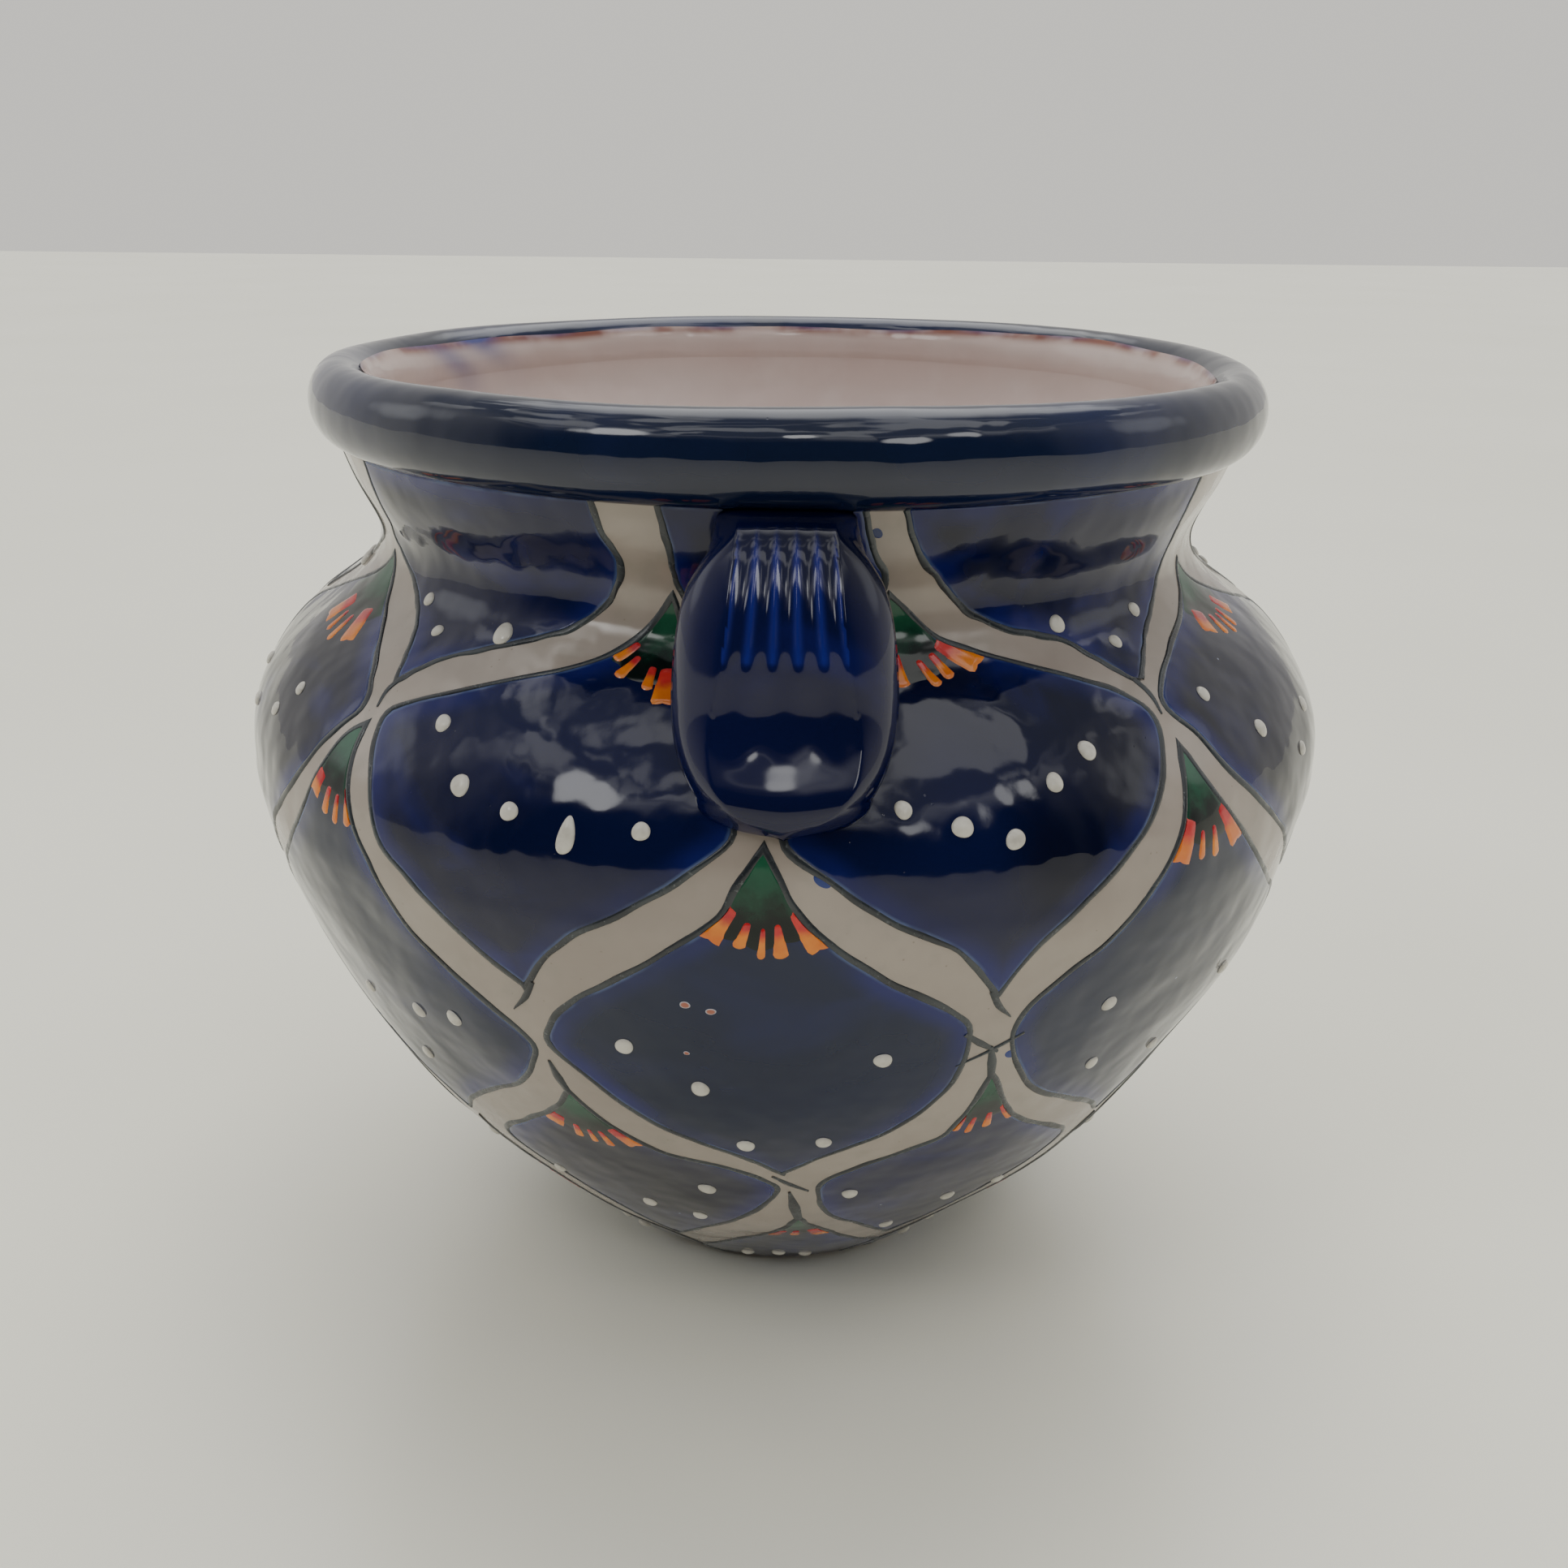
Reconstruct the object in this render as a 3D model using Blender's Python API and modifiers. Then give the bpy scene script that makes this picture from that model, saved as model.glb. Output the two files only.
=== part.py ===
"""Two-handled talavera vase: a press-moulded, glazed earthenware pot with a rolled lip.

Metres, +Z up. The origin is the middle of the foot's underside. The mouth opens towards +Z, and the
two strap handles stand on the -Y and +Y sides, each bridging the hollow of the neck from under the
lip to the shoulder.
"""

import math

import bmesh
import bpy

MM = 0.001

# Outside of the pot, from the foot up to the groove under the lip, as (radius, height).
FOOT_RADIUS = 46.0 * MM
BELLY_RADIUS = 134.8 * MM
NECK_RADIUS = 100.3 * MM
GROOVE_RADIUS = 108.8 * MM
GROOVE_HEIGHT = 217.2 * MM
OUTSIDE = [
    (FOOT_RADIUS, 0.0),
    (55.5 * MM, 8.2 * MM),
    (68.0 * MM, 20.5 * MM),
    (87.5 * MM, 41.0 * MM),
    (107.0 * MM, 68.0 * MM),
    (124.7 * MM, 102.0 * MM),
    (134.0 * MM, 134.0 * MM),
    (BELLY_RADIUS, 143.0 * MM),
    (132.9 * MM, 156.0 * MM),
    (121.3 * MM, 172.6 * MM),
    (105.6 * MM, 184.8 * MM),
    (NECK_RADIUS, 195.7 * MM),
    (104.8 * MM, 206.5 * MM),
    (GROOVE_RADIUS, GROOVE_HEIGHT),
]
OUTSIDE_POINTS = 27
WALL = 7.0 * MM
FLOOR = 8.0 * MM
FOOT_EDGE = 1.5 * MM
SEAM_HEIGHT = 143.0 * MM  # the two moulded halves meet at the widest line

# Rolled lip: an upright oval bead that stands on the neck's top edge.
LIP_RADIUS = 107.6 * MM
LIP_HEIGHT = 225.8 * MM
LIP_HALF_WIDTH = 7.5 * MM
LIP_HALF_HEIGHT = 9.3 * MM
LIP_SEAT = 217.5 * MM
LIP_OVERHANG = 0.6 * MM

# Tin glaze that lines the inside, a skin of its own.
GLAZE = 0.8 * MM
GLAZE_TOP = 216.6 * MM

GAP = 0.3 * MM  # between touching pieces
TURN_STEPS = 40
STRAP_SIDES = 16
STRAP_STATIONS = 20
ENVELOPE_FLOOR = 120.0 * MM

# Strap handle: (distance from the axis, height, half width, half thickness) down its middle line.
STRAP = [
    (100.0 * MM, 211.6 * MM, 12.6 * MM, 5.4 * MM),
    (109.0 * MM, 211.6 * MM, 13.4 * MM, 5.4 * MM),
    (116.0 * MM, 208.4 * MM, 15.8 * MM, 5.5 * MM),
    (120.2 * MM, 201.5 * MM, 18.2 * MM, 5.6 * MM),
    (121.8 * MM, 192.0 * MM, 19.6 * MM, 5.7 * MM),
    (123.4 * MM, 183.0 * MM, 20.2 * MM, 5.9 * MM),
    (126.8 * MM, 175.0 * MM, 19.6 * MM, 6.2 * MM),
    (130.2 * MM, 168.4 * MM, 17.4 * MM, 6.3 * MM),
    (130.6 * MM, 163.6 * MM, 13.6 * MM, 5.4 * MM),
    (126.0 * MM, 160.6 * MM, 9.0 * MM, 4.2 * MM),
]


def clear_scene():
    for obj in list(bpy.data.objects):
        bpy.data.objects.remove(obj, do_unlink=True)


def smooth(points, count):
    """count points along a Catmull-Rom curve through points, each a tuple of equal length."""
    ends = [points[0], *points, points[-1]]
    out = []
    for i in range(count):
        at = i * (len(points) - 1) / (count - 1)
        k = min(int(at), len(points) - 2)
        t = at - k
        a, b, c, d = ends[k : k + 4]
        out.append(
            tuple(
                q + 0.5 * t * (r - p + t * (2 * p - 5 * q + 4 * r - s + t * (3 * (q - r) + s - p)))
                for p, q, r, s in zip(a, b, c, d)
            )
        )
    return out


def offset(line, distance):
    """The (radius, height) line moved along its normals; a positive distance is away from the axis."""
    moved = []
    for i, (r, z) in enumerate(line):
        r0, z0 = line[max(i - 1, 0)]
        r1, z1 = line[min(i + 1, len(line) - 1)]
        length = math.hypot(r1 - r0, z1 - z0)
        moved.append((r + distance * (z1 - z0) / length, z - distance * (r1 - r0) / length))
    return moved


def at_height(line, height):
    """The point of a rising (radius, height) line at this height."""
    for (r0, z0), (r1, z1) in zip(line, line[1:]):
        if z0 <= height <= z1:
            return (r0 + (r1 - r0) * (height - z0) / (z1 - z0), height)
    return line[0] if height < line[0][1] else line[-1]


def between(line, low, high):
    """The stretch of a rising line from one height to another."""
    inner = [p for p in line if low + 0.5 * MM < p[1] < high - 0.5 * MM]
    return [at_height(line, low), *inner, at_height(line, high)]


def material(name, colour, roughness):
    mat = bpy.data.materials.new(name)
    mat.use_nodes = True
    shader = mat.node_tree.nodes["Principled BSDF"]
    shader.inputs["Base Color"].default_value = (*colour, 1.0)
    shader.inputs["Roughness"].default_value = roughness
    shader.inputs["Metallic"].default_value = 0.0
    mat.diffuse_color = (*colour, 1.0)
    return mat


def add_object(name, mesh, collection, mat=None):
    obj = bpy.data.objects.new(name, mesh)
    collection.objects.link(obj)
    if mat:
        mesh.materials.append(mat)
    return obj


def turned(name, outline, collection, mat=None, ring=False):
    """A turned solid whose outline runs down its outer side. A ring's outline closes on itself."""
    mesh = bpy.data.meshes.new(name)
    count = len(outline)
    edges = [(i, i + 1) for i in range(count - 1)]
    if ring:
        edges.append((count - 1, 0))
    mesh.from_pydata([(r, 0.0, z) for r, z in outline], edges, [])
    obj = add_object(name, mesh, collection, mat)
    screw = obj.modifiers.new("turn", "SCREW")
    screw.axis = "Z"
    screw.steps = screw.render_steps = TURN_STEPS
    screw.use_merge_vertices = True
    screw.merge_threshold = 0.00005
    screw.use_smooth_shade = True
    return obj


def lip_arc(start, end, count, grow=0.0):
    """Points round the lip's oval section, in degrees from outwards, anticlockwise."""
    points = []
    for i in range(count):
        angle = math.radians(start + (end - start) * i / (count - 1))
        points.append(
            (
                LIP_RADIUS + (LIP_HALF_WIDTH + grow) * math.cos(angle),
                LIP_HEIGHT + (LIP_HALF_HEIGHT + grow) * math.sin(angle),
            )
        )
    return points


def strap_mesh(name):
    """A loft of rounded sections along the strap's middle line, in the -Y half of the Y-Z plane."""
    stations = smooth(STRAP, STRAP_STATIONS)
    rings = []
    mesh = bpy.data.meshes.new(name)
    shape = bmesh.new()
    for i, (away, height, half_width, half_thick) in enumerate(stations):
        before = stations[max(i - 1, 0)]
        after = stations[min(i + 1, STRAP_STATIONS - 1)]
        run, rise = after[0] - before[0], after[1] - before[1]
        length = math.hypot(run, rise)
        out_r, out_z = -rise / length, run / length  # towards the strap's outer face
        ring = []
        for k in range(STRAP_SIDES):
            turn = 2 * math.pi * (k + 0.5) / STRAP_SIDES
            c, s = math.cos(turn), math.sin(turn)
            across = half_width * math.copysign(abs(c) ** 0.75, c)
            thick = half_thick * math.copysign(abs(s) ** 0.75, s)
            ring.append(shape.verts.new((across, -(away + thick * out_r), height + thick * out_z)))
        rings.append(ring)
    for a, b in zip(rings, rings[1:]):
        for k in range(STRAP_SIDES):
            j = (k + 1) % STRAP_SIDES
            shape.faces.new((a[k], a[j], b[j], b[k]))
    shape.faces.new(rings[0][::-1])
    shape.faces.new(rings[-1])
    bmesh.ops.recalc_face_normals(shape, faces=shape.faces)
    shape.to_mesh(mesh)
    shape.free()
    mesh.shade_smooth()
    mesh.set_sharp_from_angle(angle=math.radians(50))
    return mesh


def build():
    clear_scene()
    pot = bpy.data.collections.new("talavera_vase")
    cutters = bpy.data.collections.new("cutters")
    for collection in (pot, cutters):
        bpy.context.scene.collection.children.link(collection)
    root = add_object("vase_root", None, pot)

    clay = material("bare_clay", (0.52, 0.27, 0.17), 0.85)
    cobalt = material("cobalt_glaze", (0.012, 0.022, 0.16), 0.1)
    navy = material("navy_lip_glaze", (0.008, 0.014, 0.06), 0.08)
    mauve = material("lining_glaze", (0.56, 0.44, 0.41), 0.18)

    outside = smooth(OUTSIDE, OUTSIDE_POINTS)
    inside = offset(outside, -WALL)

    # The foot: a flat slab whose rim carries on the outside line.
    rim = between(outside, FOOT_EDGE, FLOOR)
    outline = [(0.0, FLOOR), *reversed(rim), (FOOT_RADIUS - FOOT_EDGE, 0.0), (0.0, 0.0)]
    turned("foot_slab", outline, pot, clay)

    # Two moulded halves: the bowl up to the widest line, then the shoulder and flared neck.
    halves = {
        "bowl_wall": (FLOOR + GAP, SEAM_HEIGHT - GAP / 2),
        "shoulder_wall": (SEAM_HEIGHT + GAP / 2, GROOVE_HEIGHT),
    }
    for name, (low, high) in halves.items():
        outline = [*reversed(between(outside, low, high)), *between(inside, low, high)]
        turned(name, outline, pot, cobalt, ring=True)

    # The lip: its underside overhangs the neck a little, which makes the groove.
    seat = [(GROOVE_RADIUS + LIP_OVERHANG, LIP_SEAT), (at_height(inside, LIP_SEAT)[0], LIP_SEAT)]
    turned("lip_roll", [*reversed(lip_arc(-60, 216, 15)), *seat], pot, navy, ring=True)

    # The lining: a skin over the floor and up the inner wall to just below the lip.
    skins = []
    for depth in (WALL + GAP + GLAZE, WALL + GAP):
        floor = FLOOR + depth - WALL
        side = between(offset(outside, -depth), floor, GLAZE_TOP)
        skins.append([(0.0, floor), *side])
    turned("glaze_lining", [*skins[0], *reversed(skins[1])], pot, mauve)

    # The straps, each cut to sit against the shoulder, the neck and the lip's underside.
    envelope = [(0.0, LIP_HEIGHT + LIP_HALF_HEIGHT), *reversed(lip_arc(-60, 90, 9, grow=GAP))]
    envelope += [*reversed(between(offset(outside, GAP), ENVELOPE_FLOOR, GROOVE_HEIGHT)), (0.0, ENVELOPE_FLOOR)]
    cutter = turned("pot_envelope", envelope, cutters)
    cutter.hide_render = True
    cutter.display_type = "WIRE"
    for name, turn in (("handle_front", 0.0), ("handle_back", math.pi)):
        strap = add_object(name, strap_mesh(name), pot, cobalt)
        strap.rotation_euler.z = turn
        cut = strap.modifiers.new("seat_on_pot", "BOOLEAN")
        cut.operation = "DIFFERENCE"
        cut.solver = "EXACT"
        cut.object = cutter

    for obj in pot.objects:
        if obj is not root:
            obj.parent = root


build()
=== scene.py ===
"""Looks of the two-handled talavera vase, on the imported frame.

Lengths are in metres (MM for millimetres) and angles in degrees. A point on the pot's outside is
(angle, run, rise): the angle round the axis from the front handle, positive to the right, the run up
the outside from the foot's edge, and the rise of the glaze above the clay.
"""

import math
import random

import bpy
import numpy as np
from mathutils import Matrix, Vector


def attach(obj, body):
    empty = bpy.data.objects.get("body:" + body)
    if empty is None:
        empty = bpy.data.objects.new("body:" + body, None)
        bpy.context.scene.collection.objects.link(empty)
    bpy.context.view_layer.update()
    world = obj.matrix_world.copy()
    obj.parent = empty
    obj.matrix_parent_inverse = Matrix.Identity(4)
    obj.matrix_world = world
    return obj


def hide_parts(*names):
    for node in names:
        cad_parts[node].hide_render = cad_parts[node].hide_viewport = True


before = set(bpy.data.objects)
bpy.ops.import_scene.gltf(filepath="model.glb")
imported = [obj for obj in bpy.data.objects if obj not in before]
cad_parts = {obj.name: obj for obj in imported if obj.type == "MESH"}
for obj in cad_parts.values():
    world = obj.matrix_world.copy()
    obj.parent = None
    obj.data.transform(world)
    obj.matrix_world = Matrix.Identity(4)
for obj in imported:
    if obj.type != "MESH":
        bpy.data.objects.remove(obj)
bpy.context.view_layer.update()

MM = 0.001

# Outside of the pot, from the foot to the groove under the lip, as (radius, height) in mm.
OUTSIDE = [
    (46.0, 0.0), (55.5, 8.2), (68.0, 20.5), (87.5, 41.0), (107.0, 68.0), (124.7, 102.0),
    (134.0, 134.0), (134.8, 143.0), (132.9, 156.0), (121.3, 172.6), (105.6, 184.8),
    (100.3, 195.7), (104.8, 206.5), (108.8, 217.2),
]
WALL = 7.0 * MM
LIP_RADIUS, LIP_HEIGHT = 107.6 * MM, 225.8 * MM
LIP_HALF_WIDTH, LIP_HALF_HEIGHT = 7.5 * MM, 9.3 * MM


def natural_spline(values, count):
    """count samples of the natural cubic spline through evenly spaced values."""
    values = np.array(values, float)
    n = len(values)
    system, side = np.eye(n), np.zeros(n)
    for i in range(1, n - 1):
        system[i, i - 1 : i + 2] = (1, 4, 1)
        side[i] = 6 * (values[i - 1] - 2 * values[i] + values[i + 1])
    bend = np.linalg.solve(system, side)
    at = np.linspace(0, n - 1, count)
    k = np.minimum(at.astype(int), n - 2)
    t = at - k
    return (
        values[k] * (1 - t) + values[k + 1] * t
        + ((1 - t) ** 3 - (1 - t)) * bend[k] / 6 + (t**3 - t) * bend[k + 1] / 6
    )


SAMPLES = 3001  # of the outline, between its spline's points
PROFILE_R = natural_spline([p[0] * MM for p in OUTSIDE], SAMPLES)
PROFILE_Z = natural_spline([p[1] * MM for p in OUTSIDE], SAMPLES)
RUN = np.concatenate([[0.0], np.cumsum(np.hypot(np.diff(PROFILE_R), np.diff(PROFILE_Z)))])
SLOPE_R, SLOPE_Z = np.gradient(PROFILE_R, RUN), np.gradient(PROFILE_Z, RUN)
FULL_RUN = RUN[-1]


def clay_waves():
    """Slow hand-made waves in the clay: (amplitude, waves round the pot, wave length up it, phase)."""
    rng = random.Random(11)
    found = []
    for _ in range(16):
        around, along = rng.randint(2, 17), rng.uniform(38, 120) * MM
        found.append((0.30 * MM / (1 + 0.16 * around), around, along, rng.uniform(0, 6.28)))
    return found


WAVES = clay_waves()


def waves(angle, run):
    """How far the clay stands out from the turned outline, dying away at the foot and the lip."""
    turn = np.radians(angle)
    total = np.zeros(np.broadcast(turn, run).shape)
    for amount, around, along, phase in WAVES:
        up = np.cos(2 * np.pi * run / along + 2 * phase)
        total = total + amount * np.sin(around * turn + phase) * up
    fade = np.clip(run / (12 * MM), 0, 1) * np.clip((FULL_RUN - run) / (14 * MM), 0.15, 1)
    return total * fade


def radius_at(run):
    return np.interp(run, RUN, PROFILE_R)


def on_pot(angle, run, rise=0.0):
    """Points on or above the pot's outside, as an array of x, y, z."""
    angle, run = np.broadcast_arrays(np.asarray(angle, float), np.asarray(run, float))
    clipped = np.clip(run, 0, FULL_RUN)
    rise = rise + waves(angle, clipped)
    out_r, out_z = np.interp(clipped, RUN, SLOPE_Z), -np.interp(clipped, RUN, SLOPE_R)
    r = np.interp(clipped, RUN, PROFILE_R) + rise * out_r
    z = np.interp(clipped, RUN, PROFILE_Z) + rise * out_z
    turn = np.radians(angle)
    return np.stack([r * np.sin(turn), -r * np.cos(turn), z], -1)


# ---------------- mesh and material helpers


class Parts:
    """Vertices, faces and per-point values gathered for one object."""

    def __init__(self):
        self.points, self.faces, self.values, self.count = [], [], {}, 0

    def add(self, points, faces, **values):
        points = np.asarray(points, float).reshape(-1, 3)
        self.points.append(points)
        self.faces += [tuple(int(i) + self.count for i in face) for face in faces]
        self.count += len(points)
        for name, value in values.items():
            value = np.broadcast_to(np.asarray(value, float).reshape(-1), (len(points),))
            self.values.setdefault(name, []).append(value)

    def grid(self, points, wrap_rows=False, wrap_columns=False, flip=False, **values):
        """A grid of points with shape (rows, columns, 3)."""
        rows, columns = points.shape[:2]
        faces = []
        for i in range(rows if wrap_rows else rows - 1):
            for j in range(columns if wrap_columns else columns - 1):
                a, b = i * columns + j, i * columns + (j + 1) % columns
                above = (i + 1) % rows * columns
                c, d = above + (j + 1) % columns, above + j
                faces.append((a, d, c, b) if flip else (a, b, c, d))
        values = {k: np.broadcast_to(v, (rows, columns)) for k, v in values.items()}
        self.add(points, faces, **values)

    def make(self, name, mat, slot, nodes=()):
        """The object itself, riding on the root, in place of the CAD nodes that it stands for."""
        mesh = bpy.data.meshes.new(name)
        mesh.from_pydata(np.concatenate(self.points).tolist(), [], self.faces)
        for key, parts in self.values.items():
            layer = mesh.attributes.new(key, "FLOAT", "POINT")
            layer.data.foreach_set("value", np.concatenate(parts).astype(np.float32))
        mesh.validate()
        mesh.shade_smooth()
        mesh.materials.append(mat)
        obj = bpy.data.objects.new(name, mesh)
        bpy.context.scene.collection.objects.link(obj)
        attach(obj, "root")
        if nodes:
            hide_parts(*nodes)


class Nodes:
    """Short calls for adding nodes to a tree, with its textures read at one kind of coordinate."""

    def __init__(self, tree, coordinate):
        self.tree = tree
        self.place = self.node("TexCoord").outputs[coordinate]

    def put(self, socket, value):
        if isinstance(value, bpy.types.NodeSocket):
            self.tree.links.new(value, socket)
        else:
            socket.default_value = value

    def node(self, kind, inputs=None, **settings):
        """A new node whose inputs are numbers or the outputs of other nodes."""
        node = self.tree.nodes.new("ShaderNode" + kind)
        for key, value in settings.items():
            setattr(node, key, value)
        for key, value in (inputs or {}).items():
            self.put(node.inputs[key], value)
        return node

    def noise(self, scale, detail=3.0, roughness=0.5, distortion=0.0, stretch=None):
        place = self.place
        if stretch:
            place = self.node("Mapping", {"Vector": place, "Scale": stretch}).outputs["Vector"]
        inputs = {"Vector": place, "Scale": scale, "Detail": detail, "Roughness": roughness}
        return self.node("TexNoise", inputs | {"Distortion": distortion}).outputs["Fac"]

    def cells(self, scale):
        """Distance to the nearest of many scattered points, and a colour of that point's own."""
        node = self.node("TexVoronoi", {"Vector": self.place, "Scale": scale})
        return node.outputs["Distance"], node.outputs["Color"]

    def attribute(self, name):
        return self.node("Attribute", attribute_name=name).outputs["Fac"]

    def ramp(self, value, low, high, out_low=0.0, out_high=1.0):
        """A smooth step from out_low, at value low, to out_high, at value high."""
        ends = {"From Min": low, "From Max": high, "To Min": out_low, "To Max": out_high}
        node = self.node("MapRange", {"Value": value} | ends, interpolation_type="SMOOTHSTEP")
        return node.outputs["Result"]

    def times(self, a, b):
        return self.node("Math", {0: a, 1: b}, operation="MULTIPLY").outputs[0]

    def plus(self, a, b):
        return self.node("Math", {0: a, 1: b}, operation="ADD").outputs[0]

    def mix(self, factor, a, b):
        a, b = (c if isinstance(c, bpy.types.NodeSocket) else (*c, 1.0) for c in (a, b))
        return self.node("Mix", {0: factor, 6: a, 7: b}, data_type="RGBA").outputs[2]


class Shader(Nodes):
    """A Principled material whose textures stay fixed to the object."""

    def __init__(self, name, **values):
        self.mat = bpy.data.materials.new(name)
        self.mat.use_nodes = True
        super().__init__(self.mat.node_tree, "Object")
        self.inputs = self.tree.nodes["Principled BSDF"].inputs
        for key, value in values.items():
            self.inputs[key].default_value = value

    def colour(self, value):
        self.put(self.inputs["Base Color"], value)

    def gloss(self, scale, detail, low, high):
        """A roughness that wanders between low and high."""
        self.put(self.inputs["Roughness"], self.ramp(self.noise(scale, detail), 0.3, 0.7, low, high))

    def bump(self, height, distance, strength=1.0):
        """Bumps on top of any that were added before."""
        inputs = {"Height": height, "Distance": distance, "Strength": strength}
        before = self.inputs["Normal"].links
        if before:
            inputs["Normal"] = before[0].from_socket
        self.put(self.inputs["Normal"], self.node("Bump", inputs).outputs["Normal"])


# Cobalt as (thick, middling, thin) colours, and what it turns to in grooves and along its rims.
NAVY = ((0.0013, 0.0026, 0.015), (0.003, 0.0054, 0.043), (0.009, 0.0135, 0.18))
# The belly panels' cobalt is lighter and bluer than the navy: the real cobalt with a painted reflection of
# the pale floor in it.
SLATE_WITH_PAINTED_REFLECTION = ((0.003, 0.0092, 0.034), (0.0038, 0.0102, 0.043), (0.0075, 0.0135, 0.085))
STRAP_BLUE = ((0.002, 0.0032, 0.019), (0.0036, 0.0052, 0.046), (0.0095, 0.013, 0.2))
SMUDGE = ((0.015, 0.03, 0.13), (0.02, 0.04, 0.2), (0.025, 0.05, 0.28))
GROOVE_BLUE, RIM_BLUE = (0.015, 0.023, 0.27), (0.0085, 0.0125, 0.14)
HALO_BLUE, SPECK = (0.075, 0.115, 0.25), (0.33, 0.38, 0.48)


def glaze_skin(s, ripple=0.028):
    """What every fired glaze here shares: slow ripples, faint orange peel and rare pinholes."""
    for scale, roughness, height, share in ((52, 0.45, 1.8, 26), (110, 0.5, 0.25, 16), (420, 0.5, 0.05, 6)):
        s.bump(s.noise(scale, 2, roughness), height * MM, ripple * share)
    holes, _ = s.cells(160)
    s.bump(s.ramp(holes, 0.0, 0.045), 0.08 * MM, 0.35)


def cobalt_glaze(name, use_edge=True, body=NAVY, ribbed=False):
    """Brushed cobalt: near-black navy where thick, royal blue in thin patches and along the rims."""
    s = Shader(name, IOR=1.45)
    deep, thin, royal = body
    blue = s.mix(s.ramp(s.noise(11, 2, 0.5, 0.5), 0.36, 0.66), deep, thin)
    streak = s.noise(19, 3, 0.5, 1.0, stretch=(1.0, 1.0, 1.8))
    blue = s.mix(s.ramp(streak, 0.54, 0.74, 0.0, 0.45), blue, royal)
    if ribbed:
        blue = s.mix(s.ramp(s.attribute("groove"), 0.05, 0.9, 0.0, 0.60), blue, GROOVE_BLUE)
    if use_edge:
        edge = s.attribute("edge_mm")
        rim = s.times(s.ramp(edge, 6.5, 0.6), s.ramp(s.noise(34, 2), 0.3, 0.7, 0.10, 0.90))
        blue = s.mix(rim, blue, RIM_BLUE)
        halo = s.times(s.ramp(edge, 1.05, 0.30), s.ramp(s.noise(110, 2), 0.35, 0.65, 0.10, 0.80))
        blue = s.mix(halo, blue, HALO_BLUE)
    # A pale speck stands on the few scattered points whose own red value is near 1.
    specks, tint = s.cells(210)
    red = s.node("SeparateColor", {0: tint}).outputs[0]
    rare = s.node("Math", {0: red, 1: 0.965}, operation="GREATER_THAN").outputs[0]
    s.colour(s.mix(s.times(s.ramp(specks, 0.085, 0.04, 0.0, 0.7), rare), blue, SPECK))
    s.gloss(30, 3, 0.045, 0.10)
    glaze_skin(s, 0.008 if ribbed else 0.028)
    return s.mat


def white_glaze():
    """The bare tin-white bands: warm grey-white, a little cloudy, with kiln specks."""
    s = Shader("band_white_glaze", IOR=1.5)
    cloud = s.ramp(s.noise(20, 4, 0.6), 0.35, 0.68)
    cloud = s.mix(cloud, (0.325, 0.274, 0.236), (0.400, 0.345, 0.298))
    cloud = s.mix(s.ramp(s.noise(130, 3), 0.52, 0.75, 0.0, 0.35), cloud, (0.285, 0.262, 0.222))
    specks, _ = s.cells(240)
    cloud = s.mix(s.ramp(specks, 0.07, 0.03, 0.0, 0.6), cloud, (0.22, 0.18, 0.15))
    s.colour(cloud)
    s.gloss(45, 3, 0.10, 0.22)
    glaze_skin(s)
    return s.mat


def outline_paint():
    """Raised dark outline, slightly dry, with pale grains where the pigment broke through."""
    s = Shader("outline_paint", IOR=1.5)
    grain = s.noise(900, 2, 0.7)
    base = s.mix(s.ramp(s.noise(60, 3), 0.35, 0.65), (0.018, 0.021, 0.026), (0.042, 0.050, 0.056))
    s.colour(s.mix(s.ramp(grain, 0.62, 0.75, 0.0, 0.45), base, (0.20, 0.22, 0.22)))
    s.gloss(200, 2, 0.16, 0.42)
    s.bump(grain, 0.12 * MM, 0.5)
    return s.mat


def green_glaze():
    """Leaf green at the tip, running down to green-black between the rays."""
    s = Shader("wedge_green_glaze", Roughness=0.09, IOR=1.42)
    down = s.plus(s.attribute("down"), s.ramp(s.noise(260, 3, 0.6), 0.0, 1.0, -0.16, 0.16))
    middle = s.attribute("middle")
    leaf = s.mix(s.ramp(down, 0.05, 0.6), (0.014, 0.098, 0.050), (0.006, 0.052, 0.028))
    dark = s.times(s.ramp(down, 0.38, 0.74), s.ramp(middle, 0.0, 0.4))
    s.colour(s.mix(dark, leaf, (0.0012, 0.0048, 0.0040)))
    glaze_skin(s)
    return s.mat


def flame_glaze():
    """Rays of the fan: crimson at the root, through vermilion to orange at the end."""
    s = Shader("ray_flame_glaze", Roughness=0.12, IOR=1.5)
    along = s.plus(s.attribute("along"), s.ramp(s.noise(300, 3), 0.0, 1.0, -0.14, 0.14))
    red = s.mix(s.ramp(s.noise(220, 2), 0.35, 0.65), (0.46, 0.012, 0.022), (0.62, 0.030, 0.026))
    orange = s.mix(s.ramp(s.noise(180, 3), 0.35, 0.7), (0.72, 0.165, 0.010), (0.82, 0.250, 0.020))
    s.colour(s.mix(s.ramp(along, 0.30, 0.62), red, orange))
    glaze_skin(s)
    return s.mat


def enamel():
    """Raised dots of cream enamel."""
    s = Shader("dot_enamel", IOR=1.5)
    s.colour(s.mix(s.ramp(s.noise(300, 3), 0.4, 0.7), (0.66, 0.63, 0.56), (0.52, 0.49, 0.43)))
    s.gloss(400, 2, 0.10, 0.24)
    s.bump(s.noise(500, 2), 0.08 * MM, 0.4)
    return s.mat


def pit_glaze():
    """Burst bubbles: a pale ring round a spot of pink clay."""
    s = Shader("pit_clay", Roughness=0.35, IOR=1.45)
    s.colour(s.mix(s.ramp(s.attribute("ring"), 0.35, 0.7), (0.40, 0.135, 0.085), (0.50, 0.52, 0.60)))
    s.bump(s.noise(600, 2), 0.1 * MM, 0.5)
    return s.mat


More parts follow.
